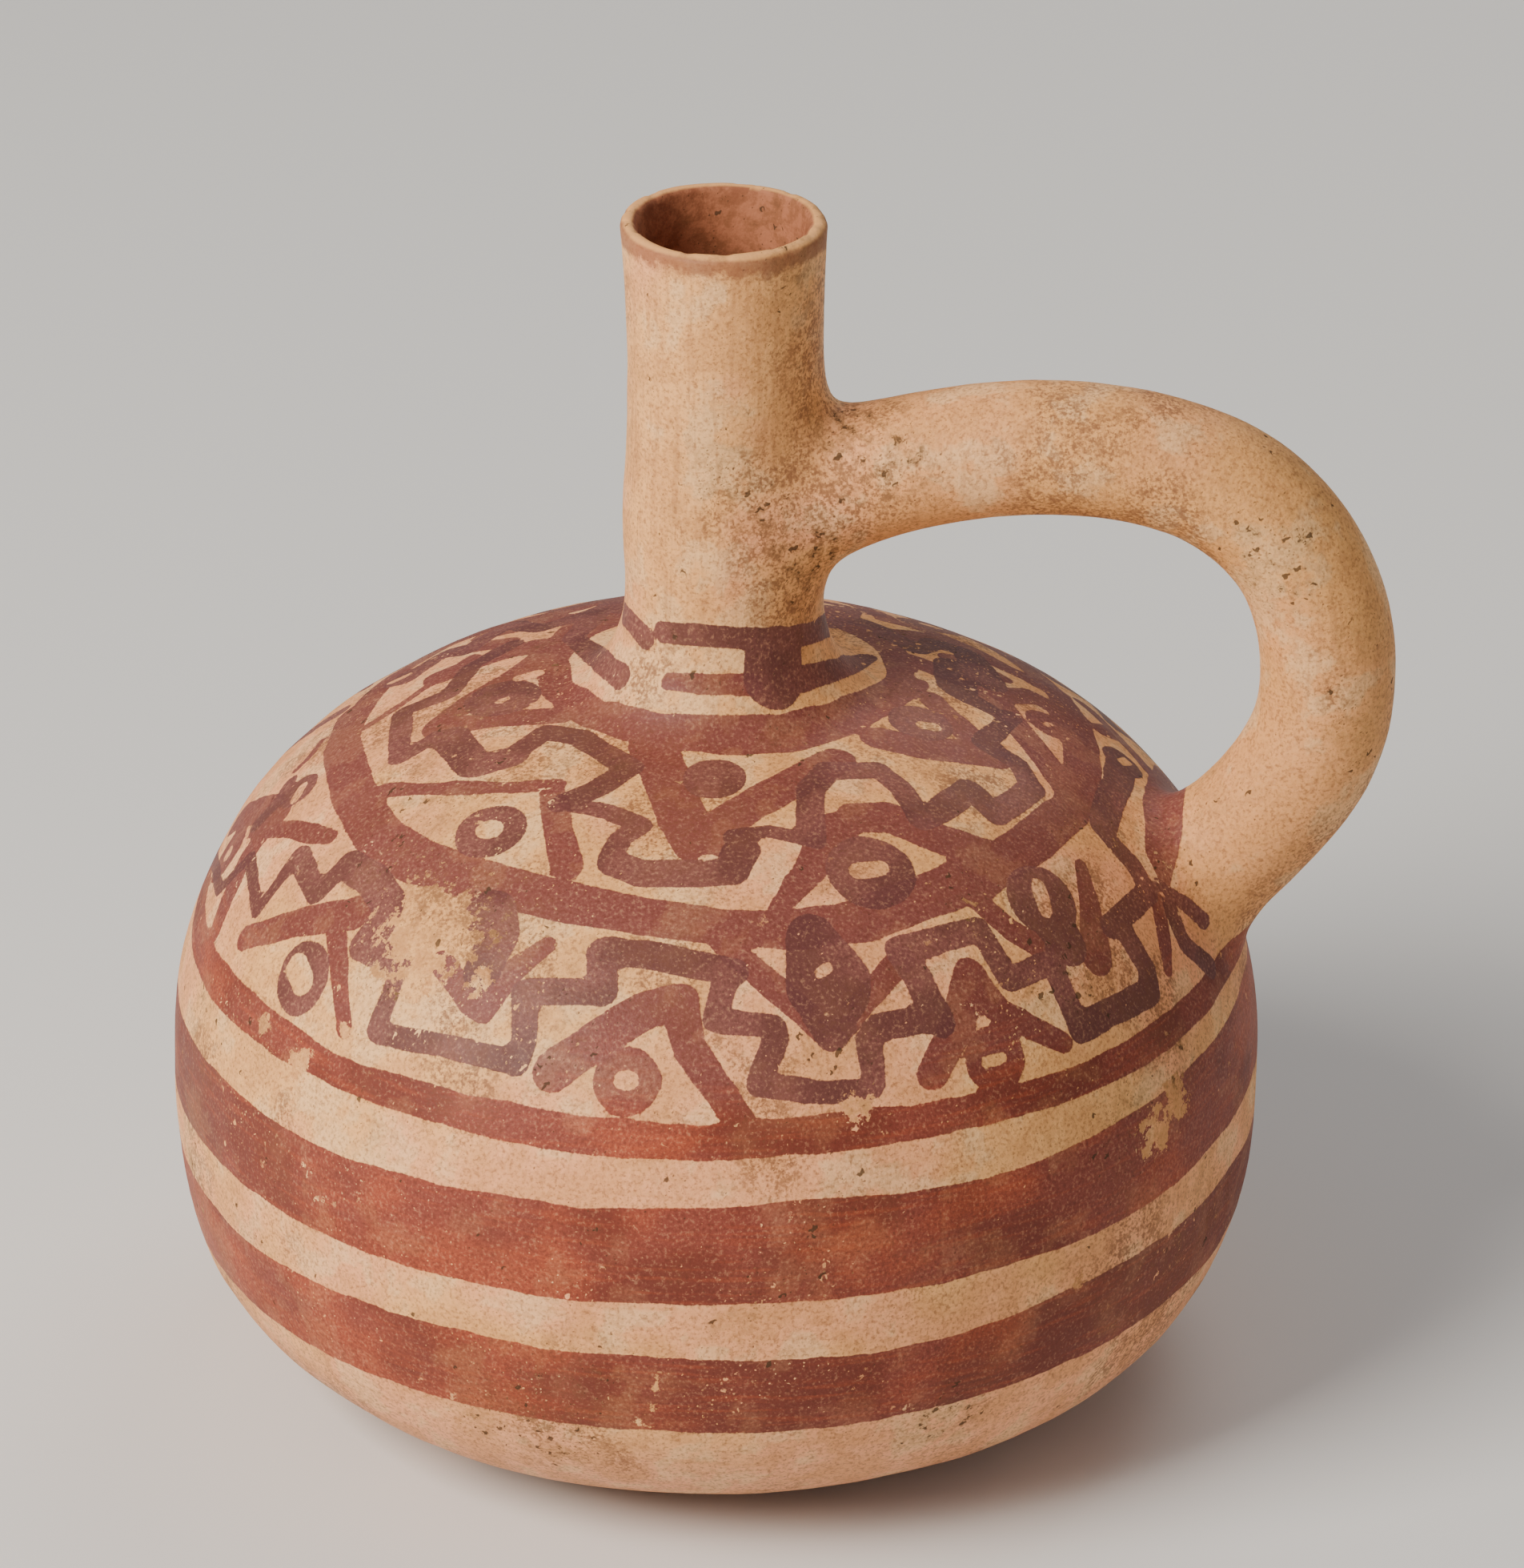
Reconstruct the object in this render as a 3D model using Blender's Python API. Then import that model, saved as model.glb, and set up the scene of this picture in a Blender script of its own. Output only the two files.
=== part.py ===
"""Spout-and-handle bottle in fired clay: a rounded chamber, one straight spout and one tubular handle.

Metres, +Z up. The origin is the centre of the flat base, and the handle leaves towards +X.
"""

from math import cos, pi, sin

import bmesh
import bpy
from mathutils import Vector

# Chamber, outside
BODY_RADIUS = 0.085
WIDEST_HEIGHT = 0.0535
DOME_RISE = 0.0603
DOME_ROUND_OUT = 2.59
DOME_ROUND_UP = 2.05
BASE_CUT = 0.001
BOWL_DROP = WIDEST_HEIGHT + BASE_CUT
BOWL_ROUND_OUT = 3.59
BOWL_ROUND_DOWN = 3.16
DOME_STEPS = 15
BOWL_STEPS = 13

# Chamber, inside
BODY_WALL = 0.005
BASE_WALL = 0.0065
CHAMBER_STEPS = 9
NECK_CLEARANCE = 0.003
CUT_PAST_RIM = 0.004

# Spout
SPOUT_OFFSET = 0.0015
LEAN_FROM = 0.8
SPOUT_TOP = 0.191
SPOUT_RADIUS = 0.0152
RIM_RADIUS = 0.0159
RIM_FLARE_START = 0.165
SPOUT_BORE_RADIUS = 0.0124
MOUTH_RADIUS = 0.0127
COLLAR_WIDTH = 0.012
COLLAR_RISE = 0.018
COLLAR_STEPS = 5
COLLAR_GAP = 0.002
LIP_STEPS = 6
LIP_TURN = 2.7

# Handle: the centre line runs from the spout's axis over an arch and back down into the shoulder
HANDLE_RADIUS = 0.0106
HANDLE_BORE_RADIUS = 0.006
START_HEIGHT = 0.1410
START_SLOPE_REACH = 0.018
START_SLOPE_RISE = 0.0065
PEAK_REACH = 0.0525
PEAK_HEIGHT = 0.1548
PEAK_PULL = 0.018
OUTER_REACH = 0.0944
OUTER_HEIGHT = 0.118
OUTER_PULL = 0.015
FOOT_DEPTH = 0.0165
FOOT_REACH = BODY_RADIUS - FOOT_DEPTH
FOOT_RISE = 0.0235
FOOT_HEIGHT = WIDEST_HEIGHT + FOOT_RISE
FOOT_PULL_REACH = 0.017
FOOT_PULL_RISE = 0.018
ARCH_ROUNDNESS = 0.64
SPOUT_FLARE = 0.005
SPOUT_FLARE_LENGTH = 0.015
SPOUT_FLARE_FROM = 0.012
FOOT_FLARE = 0.003
FOOT_FLARE_LENGTH = 0.009
FOOT_FLARE_FROM = 0.011

# Facets
BODY_SEGMENTS = 56
CHAMBER_SEGMENTS = 44
HANDLE_SIDES = 24
HANDLE_STEPS = 12
BORE_SIDES = 16
BORE_STEPS = 9

CLAY_COLOUR = (0.66, 0.39, 0.23, 1.0)
CLAY_ROUGHNESS = 0.75


def clear_scene():
    for old in list(bpy.data.objects):
        bpy.data.objects.remove(old, do_unlink=True)


def rounded_quarter(radius, height, round_out, round_up, share):
    """A point of a superellipse's quarter: share 0 is its side and share 1 its pole."""
    angle = share * pi / 2
    out = radius * max(cos(angle), 0.0) ** (2 / round_out)
    up = height * max(sin(angle), 0.0) ** (2 / round_up)
    return out, up


def dome_height(radius_at):
    """Height of the outer shoulder at a distance from the axis."""
    out_share = (radius_at / BODY_RADIUS) ** DOME_ROUND_OUT
    return WIDEST_HEIGHT + DOME_RISE * (1 - out_share) ** (1 / DOME_ROUND_UP)


def bowl_profile():
    """From the flat base's edge up to just under the widest ring."""
    flat_share = 1 - (WIDEST_HEIGHT / BOWL_DROP) ** BOWL_ROUND_DOWN
    base_radius = BODY_RADIUS * flat_share ** (1 / BOWL_ROUND_OUT)
    points = [(0.0, 0.0), (base_radius, 0.0)]
    for step in range(BOWL_STEPS, 0, -1):
        share = step / (BOWL_STEPS + 1)
        out, drop = rounded_quarter(BODY_RADIUS, BOWL_DROP, BOWL_ROUND_OUT, BOWL_ROUND_DOWN, share)
        if drop < WIDEST_HEIGHT and out > base_radius:
            points.append((out, WIDEST_HEIGHT - drop))
    return points


def dome_profile(end_radius):
    """From the widest ring up to the collar's fillet."""
    points = []
    for step in range(DOME_STEPS + 1):
        share = step / (DOME_STEPS + 1)
        out, rise = rounded_quarter(BODY_RADIUS, DOME_RISE, DOME_ROUND_OUT, DOME_ROUND_UP, share)
        if out > end_radius:
            points.append((out, WIDEST_HEIGHT + rise))
    return points


def collar_profile():
    """The concave blend from the shoulder up to the spout's wall."""
    foot = dome_height(SPOUT_RADIUS + COLLAR_WIDTH)
    points = []
    for step in range(COLLAR_STEPS + 1):
        angle = step / COLLAR_STEPS * pi / 2
        out = SPOUT_RADIUS + COLLAR_WIDTH * (1 - sin(angle))
        points.append((out, foot + COLLAR_RISE * (1 - cos(angle))))
    return points


def lip_profile():
    """The spout's wall above its flare and the round lip, ending at the mouth."""
    lip_radius = (RIM_RADIUS - MOUTH_RADIUS) / 2
    middle = MOUTH_RADIUS + lip_radius
    points = [(SPOUT_RADIUS, RIM_FLARE_START)]
    for step in range(LIP_STEPS + 1):
        angle = step / LIP_STEPS * LIP_TURN
        points.append((middle + lip_radius * cos(angle), SPOUT_TOP - lip_radius + lip_radius * sin(angle)))
    return points


def chamber_profile():
    """The cavity: chamber, neck and mouth, running past the rim so that the cut is open."""
    inner_radius = BODY_RADIUS - BODY_WALL
    roof = DOME_RISE - BODY_WALL
    floor_drop = WIDEST_HEIGHT - BASE_WALL
    lip_radius = (RIM_RADIUS - MOUTH_RADIUS) / 2
    lower = []
    for step in range(CHAMBER_STEPS + 1, 0, -1):
        share = step / (CHAMBER_STEPS + 1)
        out, drop = rounded_quarter(inner_radius, floor_drop, BOWL_ROUND_OUT, BOWL_ROUND_DOWN, share)
        lower.append((out, WIDEST_HEIGHT - drop))
    upper = []
    for step in range(CHAMBER_STEPS + 1):
        share = step / (CHAMBER_STEPS + 1)
        out, rise = rounded_quarter(inner_radius, roof, DOME_ROUND_OUT, DOME_ROUND_UP, share)
        if out > SPOUT_BORE_RADIUS + NECK_CLEARANCE:
            upper.append((out, WIDEST_HEIGHT + rise))
    roof_height = WIDEST_HEIGHT + roof
    neck = [
        (SPOUT_BORE_RADIUS, roof_height + NECK_CLEARANCE),
        (SPOUT_BORE_RADIUS, RIM_FLARE_START),
        (MOUTH_RADIUS, SPOUT_TOP - lip_radius),
        (MOUTH_RADIUS, SPOUT_TOP + CUT_PAST_RIM),
        (0.0, SPOUT_TOP + CUT_PAST_RIM),
    ]
    return lower + upper + neck


def axis_offset(height):
    """The spout stands a little off the chamber's axis, and the shoulder leads up to it."""
    start = WIDEST_HEIGHT + LEAN_FROM * DOME_RISE
    full = WIDEST_HEIGHT + DOME_RISE + COLLAR_RISE
    share = min(max((height - start) / (full - start), 0.0), 1.0)
    return SPOUT_OFFSET * share


def new_object(name, mesh_data):
    mesh = bpy.data.meshes.new(name)
    bmesh.ops.recalc_face_normals(mesh_data, faces=mesh_data.faces)
    mesh_data.to_mesh(mesh)
    mesh_data.free()
    made = bpy.data.objects.new(name, mesh)
    bpy.context.scene.collection.objects.link(made)
    for face in mesh.polygons:
        face.use_smooth = True
    return made


def loft(mesh_data, rings):
    """Faces between rings of vertices, where a ring of one vertex is a pole."""
    for low, high in zip(rings, rings[1:]):
        count = max(len(low), len(high))
        for i in range(count):
            j = (i + 1) % count
            if len(low) == 1:
                mesh_data.faces.new((low[0], high[j], high[i]))
            elif len(high) == 1:
                mesh_data.faces.new((low[i], low[j], high[0]))
            else:
                mesh_data.faces.new((low[i], low[j], high[j], high[i]))


def revolved(name, profile, segments):
    mesh_data = bmesh.new()
    rings = []
    for radius, height in profile:
        centre = axis_offset(height)
        if radius < 1e-9:
            rings.append([mesh_data.verts.new((centre, 0.0, height))])
            continue
        ring = []
        for i in range(segments):
            turn = 2 * pi * i / segments
            ring.append(mesh_data.verts.new((centre + radius * cos(turn), radius * sin(turn), height)))
        rings.append(ring)
    if len(rings[-1]) > 1:
        rings.append([mesh_data.verts.new((axis_offset(profile[-1][1]), 0.0, profile[-1][1]))])
    loft(mesh_data, rings)
    return new_object(name, mesh_data)


def bezier(a, b, c, d, t):
    s = 1 - t
    return s * s * s * a + 3 * s * s * t * b + 3 * s * t * t * c + t * t * t * d


def handle_line(steps):
    """Points of the handle's centre line in the XZ plane, three curves of equal step count."""
    start = Vector((SPOUT_OFFSET, 0.0, START_HEIGHT))
    peak = Vector((PEAK_REACH, 0.0, PEAK_HEIGHT))
    outer = Vector((OUTER_REACH, 0.0, OUTER_HEIGHT))
    foot = Vector((FOOT_REACH, 0.0, FOOT_HEIGHT))
    along = Vector((1.0, 0.0, 0.0))
    up = Vector((0.0, 0.0, 1.0))
    start_pull = start + Vector((START_SLOPE_REACH, 0.0, START_SLOPE_RISE))
    foot_pull = foot + Vector((FOOT_PULL_REACH, 0.0, FOOT_PULL_RISE))
    curves = (
        (start, start_pull, peak - along * PEAK_PULL, peak),
        (peak, peak + along * ARCH_ROUNDNESS * (OUTER_REACH - PEAK_REACH),
         outer + up * ARCH_ROUNDNESS * (PEAK_HEIGHT - OUTER_HEIGHT), outer),
        (outer, outer - up * OUTER_PULL, foot_pull, foot),
    )
    points = [start]
    for curve in curves:
        for step in range(1, steps + 1):
            points.append(bezier(*curve, step / steps))
    return points


def flare(distance, start, size, length):
    """Extra radius near one end, fading with distance along the handle."""
    share = min(max(1 - (distance - start) / length, 0.0), 1.0)
    return size * share * share


def swept(name, points, base_radius, sides, spout_flare=0.0, foot_flare=0.0):
    """A closed tube about points in the XZ plane, wider near its ends by the two flares."""
    travelled = [0.0]
    for before, after in zip(points, points[1:]):
        travelled.append(travelled[-1] + (after - before).length)
    total = travelled[-1]
    across = Vector((0.0, 1.0, 0.0))
    mesh_data = bmesh.new()
    rings = [[mesh_data.verts.new(points[0])]]
    for i, point in enumerate(points):
        ahead = points[min(i + 1, len(points) - 1)] - points[max(i - 1, 0)]
        upward = ahead.normalized().cross(across)
        at_spout = flare(travelled[i], SPOUT_FLARE_FROM, spout_flare, SPOUT_FLARE_LENGTH)
        at_foot = flare(total - travelled[i], FOOT_FLARE_FROM, foot_flare, FOOT_FLARE_LENGTH)
        radius = base_radius + at_spout + at_foot
        ring = []
        for k in range(sides):
            turn = 2 * pi * k / sides
            ring.append(mesh_data.verts.new(point + radius * (cos(turn) * across + sin(turn) * upward)))
        rings.append(ring)
    rings.append([mesh_data.verts.new(points[-1])])
    loft(mesh_data, rings)
    return new_object(name, mesh_data)


def helper(made):
    made.hide_render = True
    made.display_type = "WIRE"
    return made


def boolean(target, tool, operation):
    modifier = target.modifiers.new(operation.title() + " " + tool.name, "BOOLEAN")
    modifier.operation = operation
    modifier.solver = "EXACT"
    modifier.object = tool


def clay():
    material = bpy.data.materials.new("clay")
    material.use_nodes = True
    shader = material.node_tree.nodes["Principled BSDF"]
    shader.inputs["Base Color"].default_value = CLAY_COLOUR
    shader.inputs["Roughness"].default_value = CLAY_ROUGHNESS
    return material


def build():
    clear_scene()
    collar_edge = SPOUT_RADIUS + COLLAR_WIDTH + COLLAR_GAP
    outside = bowl_profile() + dome_profile(collar_edge) + collar_profile() + lip_profile()
    vessel = revolved("vessel", outside, BODY_SEGMENTS)
    chamber = helper(revolved("chamber_cut", chamber_profile(), CHAMBER_SEGMENTS))
    outer_line = handle_line(HANDLE_STEPS)
    tube = helper(swept("handle_tube", outer_line, HANDLE_RADIUS, HANDLE_SIDES, SPOUT_FLARE, FOOT_FLARE))
    bore = helper(swept("handle_bore_cut", handle_line(BORE_STEPS), HANDLE_BORE_RADIUS, BORE_SIDES))
    boolean(vessel, tube, "UNION")
    boolean(vessel, chamber, "DIFFERENCE")
    boolean(vessel, bore, "DIFFERENCE")
    vessel.data.materials.append(clay())


build()
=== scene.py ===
"""Looks of the spout-and-handle bottle: one hollow piece of fired clay, slip painted, worn and buried.

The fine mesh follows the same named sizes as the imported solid, with the handle blended into spout and
shoulder. Metres, +Z up, the handle towards +X.
"""

from math import atan2, ceil, cos, dist, hypot, pi, radians, sin

import bmesh
import bpy
import numpy as np
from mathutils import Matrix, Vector
from mathutils.bvhtree import BVHTree


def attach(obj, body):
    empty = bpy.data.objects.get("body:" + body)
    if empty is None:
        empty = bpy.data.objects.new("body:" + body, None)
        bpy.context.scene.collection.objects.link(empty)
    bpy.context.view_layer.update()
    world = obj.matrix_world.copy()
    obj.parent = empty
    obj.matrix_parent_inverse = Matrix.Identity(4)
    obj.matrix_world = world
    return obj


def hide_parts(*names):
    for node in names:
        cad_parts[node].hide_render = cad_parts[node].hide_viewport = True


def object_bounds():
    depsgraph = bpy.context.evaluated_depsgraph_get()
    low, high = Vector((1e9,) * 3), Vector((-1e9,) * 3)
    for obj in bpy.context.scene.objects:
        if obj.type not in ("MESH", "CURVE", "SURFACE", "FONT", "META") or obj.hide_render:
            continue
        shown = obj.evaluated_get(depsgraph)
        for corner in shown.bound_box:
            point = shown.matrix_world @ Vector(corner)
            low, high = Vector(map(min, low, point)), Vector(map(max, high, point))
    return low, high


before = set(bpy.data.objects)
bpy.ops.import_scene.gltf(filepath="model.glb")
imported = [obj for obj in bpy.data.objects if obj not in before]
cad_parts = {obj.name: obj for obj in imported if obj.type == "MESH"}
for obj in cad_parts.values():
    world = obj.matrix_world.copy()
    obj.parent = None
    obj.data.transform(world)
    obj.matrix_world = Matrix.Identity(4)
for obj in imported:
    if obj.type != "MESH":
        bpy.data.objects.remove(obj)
cad_low, cad_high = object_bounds()

MM = 0.001

# Photograph: its camera and its frame in pixels
PHOTO_WIDTH = 1904
PHOTO_HEIGHT = 1959
VIEW_AZIMUTH = 5.0
VIEW_ELEVATION = 25.87
VIEW_DISTANCE = 1.5
VIEW_PIXELS = 12124.0
TARGET_REACH = 7.3 * MM
TARGET_HEIGHT = 95.8 * MM
SENSOR_WIDTH = 36.0
FLOOR_HALF = 3.0
LIGHT_BOUNCES = 2

# Chamber, outside. The skin lies just inside the solid's box, so that uneven clay stays in it
SKIN_INSET = 0.25 * MM
BODY_RADIUS = cad_high.y - SKIN_INSET
WIDEST_HEIGHT = 53.5 * MM
DOME_RISE = 60.3 * MM
DOME_ROUND_OUT = 2.59
DOME_ROUND_UP = 2.05
BOWL_DROP = 54.5 * MM
BOWL_ROUND_OUT = 3.59
BOWL_ROUND_DOWN = 3.16

# Chamber, inside
BODY_WALL = 5.0 * MM
BASE_WALL = 6.5 * MM

# Spout
SPOUT_OFFSET = 1.5 * MM
SPOUT_TOP = cad_high.z - SKIN_INSET
SPOUT_RADIUS = 15.1 * MM
RIM_RADIUS = 15.9 * MM
RIM_FLARE_START = 165.0 * MM
MOUTH_RADIUS = 12.7 * MM
BORE_RADIUS = 12.4 * MM
BORE_FLOOR = 150.0 * MM
NECK_GAP = 0.15 * MM
PAST_TUBE_END = 20.0 * MM
COLLAR_WIDTH = 12.0 * MM
COLLAR_RISE = 18.0 * MM

# Handle's centre line, from the spout's axis over an arch and down into the shoulder
HANDLE_RADIUS = 10.5 * MM
HANDLE_BORE_RADIUS = 6.0 * MM
START_HEIGHT = 141.0 * MM
START_SLOPE_REACH = 18.0 * MM
START_SLOPE_RISE = 6.5 * MM
PEAK_REACH = 52.5 * MM
PEAK_HEIGHT = 154.8 * MM
PEAK_PULL = 18.0 * MM
OUTER_REACH = cad_high.x - HANDLE_RADIUS - 0.3 * MM
OUTER_HEIGHT = 118.0 * MM
OUTER_PULL = 15.0 * MM
FOOT_REACH = 68.5 * MM
FOOT_HEIGHT = 77.0 * MM
FOOT_PULL_REACH = 17.0 * MM
FOOT_PULL_RISE = 18.0 * MM
ARCH_ROUNDNESS = 0.64
BLEND = 3.0 * MM
BLEND_ZONE = 16.0 * MM

# Unevenness left by the hand, and wear of the rim
BROAD_FLATS = 0.55 * MM
BROAD_FLAT_SIZE = 24 * MM
SMALL_DENTS = 0.12 * MM
SMALL_DENT_SIZE = 6 * MM
RIM_WEAR = 0.5 * MM
RIM_WEAR_SIZE = 2.6 * MM

# Mesh fineness
RING_SEGMENTS = 384
BAND_STEP = 2.0 * MM
FRIEZE_STEP = 1.0 * MM
SPOUT_STEP = 1.9 * MM
LIP_STEP = 0.6 * MM
TUBE_SIDES = 72
CAVITY_SEGMENTS = 64
CAVITY_STEPS = 14
BORE_SIDES = 24
BORE_STEPS = 12

# Paint. The motifs are read off the photograph: points are its pixels, widths are millimetres at a
# stroke's start and end. Each is laid on the clay where the camera sees it.
RED = "red"
PURPLE = "purple"
BARE = "bare"

COLLAR_MARKS = (
    (PURPLE, 3.2, 3.0, ((768, 750), (786, 775), (808, 797))),
    (PURPLE, 3.4, 3.2, ((768, 750), (738, 775), (716, 797), (745, 820), (775, 845))),
    (PURPLE, 2.8, 3.2, ((828, 791), (870, 793), (920, 797), (960, 800))),
    (RED, 2.2, 2.8, ((836, 852), (880, 855), (940, 856))),
    (PURPLE, 9.4, 9.4, ((968, 822), (968, 846))),
    (PURPLE, 3.0, 3.2, ((975, 800), (1015, 790), (1050, 775), (1068, 762))),
    (PURPLE, 3.2, 3.0, ((1000, 850), (1040, 838), (1082, 822))),
)
RING_STROKES = (
    (RED, 4.6, 6.4, ((690, 828), (696, 862), (740, 893), (820, 914), (900, 921), (980, 919))),
    (RED, 6.4, 6.0, ((980, 919), (1045, 903), (1095, 880), (1135, 852))),
    (RED, 6.0, 7.4, ((440, 890), (427, 930), (440, 990), (470, 1042), (520, 1075))),
    (RED, 7.4, 5.6, ((520, 1075), (600, 1101), (700, 1125), (800, 1143), (900, 1158))),
    (RED, 5.6, 7.6, ((900, 1158), (1000, 1161), (1080, 1149), (1150, 1122), (1225, 1093))),
    (RED, 7.0, 5.4, ((1225, 1093), (1290, 1052), (1338, 1010), (1353, 965), (1350, 930))),
)
INNER_FRIEZE = (
    (PURPLE, 3.4, 3.0, ((640, 805), (590, 832), (562, 866), (502, 890), (498, 948), (545, 920))),
    (PURPLE, 5.6, 5.0, ((562, 922), (592, 958), (640, 945))),
    (PURPLE, 3.8, 3.6, ((645, 940), (682, 914), (725, 922), (788, 960), (740, 988), (702, 1003))),
    (PURPLE, 2.8, 3.0, ((702, 1003), (760, 1014), (803, 1031), (775, 1048), (762, 1075))),
    (PURPLE, 4.2, 5.0, ((765, 1078), (800, 1091), (870, 1092), (915, 1088), (928, 1062))),
    (PURPLE, 2.0, 2.6, ((915, 1045), (960, 1038), (1020, 1052))),
    (PURPLE, 4.0, 3.6, ((1012, 1045), (1012, 985), (1035, 963), (1098, 962), (1125, 985), (1150, 1022))),
    (PURPLE, 4.2, 3.8, ((1150, 1022), (1172, 1014), (1212, 986), (1245, 1018), (1290, 985))),
    (PURPLE, 3.4, 2.8, ((1290, 985), (1272, 955), (1228, 928), (1265, 895))),
    (RED, 2.6, 2.4, ((480, 987), (560, 985), (640, 984), (698, 980))),
    (RED, 3.4, 4.6, ((690, 988), (698, 1040), (708, 1082))),
    (RED, 6.8, 7.4, ((815, 930), (845, 1005), (872, 1055))),
    (RED, 6.4, 5.6, ((874, 1048), (935, 1008), (1000, 973), (1045, 950))),
    (RED, 5.6, 5.6, ((1068, 1022), (1110, 1020), (1160, 1042), (1235, 1068))),
    (RED, 6.4, 2.4, ((1045, 1035), (1010, 1090), (972, 1134))),
    (RED, 5.6, 6.0, ((1098, 922), (1160, 934), (1240, 944))),
    (RED, 3.6, 5.0, ((1162, 872), (1192, 900), (1232, 940))),
    (RED, 4.8, 5.4, ((1240, 870), (1272, 908), (1310, 955), (1338, 995))),
    (RED, 4.4, 5.6, ((1240, 868), (1290, 870), (1322, 888), (1346, 925), (1352, 985))),
    (PURPLE, 5.4, 6.4, ((1190, 832), (1196, 858))),
    (PURPLE, 4.2, 3.0, ((1196, 864), (1222, 878), (1248, 892))),
    (RED, 3.2, 2.4, ((1186, 822), (1218, 830), (1255, 848))),
    (RED, 5.2, 4.4, ((1112, 792), (1150, 795), (1215, 815), (1290, 850))),
    (RED, 3.0, 3.8, ((1375, 912), (1388, 916))),
    (RED, 4.4, 6.4, ((548, 906), (590, 875), (640, 848), (690, 815), (725, 785))),
    (RED, 4.4, 4.8, ((545, 910), (620, 898), (700, 894))),
    (RED, 1.4, 1.4, ((455, 910), (500, 881), (545, 850), (590, 820))),
    (RED, 5.0, 4.0, ((565, 814), (600, 808), (632, 803))),
    (RED, 3.0, 4.0, ((600, 796), (650, 785), (700, 772))),
)
# This chevron with its eye is painted again on the left, which the photograph hides
CHEVRON = (
    (RED, 5.6, 5.4, ((690, 1340), (750, 1297), (805, 1262), (848, 1252))),
    (RED, 5.2, 4.0, ((848, 1255), (862, 1310), (900, 1365), (922, 1400))),
)
CHEVRON_EYE = (RED, 5.1, (782, 1350))
CHEVRON_PUPIL = (2.8, ((779, 1350), (785, 1350)))
CHEVRON_TURN = radians(-80)
OUTER_FRIEZE = (
    (RED, 3.4, 2.4, ((320, 1036), (365, 1036), (412, 1046))),
    (PURPLE, 3.6, 3.0, ((322, 1028), (345, 1005), (362, 978))),
    (RED, 1.2, 1.2, ((370, 962), (388, 944), (402, 925))),
    (PURPLE, 2.0, 2.0, ((268, 1072), (274, 1112), (312, 1070), (321, 1138))),
    (PURPLE, 1.6, 3.0, ((323, 1135), (372, 1070))),
    (PURPLE, 3.4, 3.0, ((374, 1072), (394, 1118), (432, 1080))),
    (PURPLE, 4.6, 5.0, ((436, 1080), (466, 1098), (488, 1130), (476, 1156))),
    (PURPLE, 5.0, 3.4, ((474, 1158), (452, 1180), (500, 1203))),
    (PURPLE, 2.8, 3.0, ((500, 1203), (487, 1245), (470, 1290), (560, 1307), (645, 1328))),
    (PURPLE, 3.4, 3.8, ((645, 1328), (655, 1300), (656, 1238), (752, 1238))),
    (PURPLE, 4.4, 3.8, ((752, 1238), (752, 1190), (770, 1190), (835, 1197), (918, 1216))),
    (PURPLE, 3.2, 3.2, ((908, 1220), (892, 1275), (965, 1283), (968, 1300), (948, 1352))),
    (PURPLE, 3.2, 2.8, ((948, 1355), (1020, 1364), (1090, 1360))),
    (PURPLE, 3.2, 3.6, ((1092, 1355), (1085, 1300), (1098, 1284), (1152, 1272), (1176, 1278))),
    (PURPLE, 4.0, 3.8, ((1176, 1278), (1145, 1220), (1124, 1188), (1165, 1176), (1222, 1162))),
    (PURPLE, 3.6, 3.4, ((1222, 1162), (1248, 1200), (1262, 1224), (1312, 1202), (1332, 1245),
                        (1350, 1283))),
    (PURPLE, 4.0, 3.8, ((1350, 1283), (1438, 1238), (1432, 1210), (1402, 1158))),
    (PURPLE, 3.6, 3.2, ((1388, 1158), (1436, 1114), (1415, 1080), (1376, 1038))),
    (PURPLE, 4.4, 4.8, ((1376, 1034), (1388, 1000), (1402, 955))),
    (RED, 3.6, 5.4, ((306, 1172), (375, 1152), (444, 1140))),
    (RED, 3.4, 2.6, ((420, 1160), (424, 1225), (430, 1286))),
    (PURPLE, 7.4, 5.6, ((612, 1140), (622, 1172), (604, 1212))),
    (RED, 3.0, 3.4, ((552, 1202), (590, 1255), (604, 1262))),
    (RED, 4.0, 2.4, ((604, 1258), (642, 1213), (684, 1181))),
    (PURPLE, 7.0, 12.4, ((1014, 1172), (1028, 1206), (1036, 1228))),
    (PURPLE, 10.6, 4.6, ((1036, 1236), (1040, 1294))),
    (RED, 3.2, 3.8, ((902, 1178), (960, 1228), (1030, 1288))),
    (RED, 3.8, 3.4, ((1050, 1285), (1095, 1235), (1128, 1198))),
    (RED, 4.4, 5.0, ((1163, 1343), (1195, 1285), (1212, 1220))),
    (RED, 5.0, 2.4, ((1215, 1225), (1250, 1265), (1330, 1303))),
    (PURPLE, 7.6, 6.6, ((1308, 1140), (1332, 1180))),
    (RED, 3.2, 3.8, ((1215, 1120), (1262, 1160), (1318, 1192))),
    (RED, 1.8, 5.6, ((1350, 1080), (1362, 1135), (1370, 1195))),
    *CHEVRON,
)
FOOT_STROKES = (
    (RED, 6.6, 4.8, ((1463, 966), (1453, 1015), (1449, 1070))),
    (RED, 4.6, 1.2, ((1449, 1070), (1456, 1108))),
    (RED, 3.0, 2.0, ((1447, 1125), (1453, 1165), (1459, 1212))),
    (PURPLE, 1.8, 2.4, ((1448, 1105), (1480, 1130), (1504, 1150))),
    (PURPLE, 3.0, 3.0, ((1462, 1135), (1480, 1180), (1512, 1208))),
)
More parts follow.
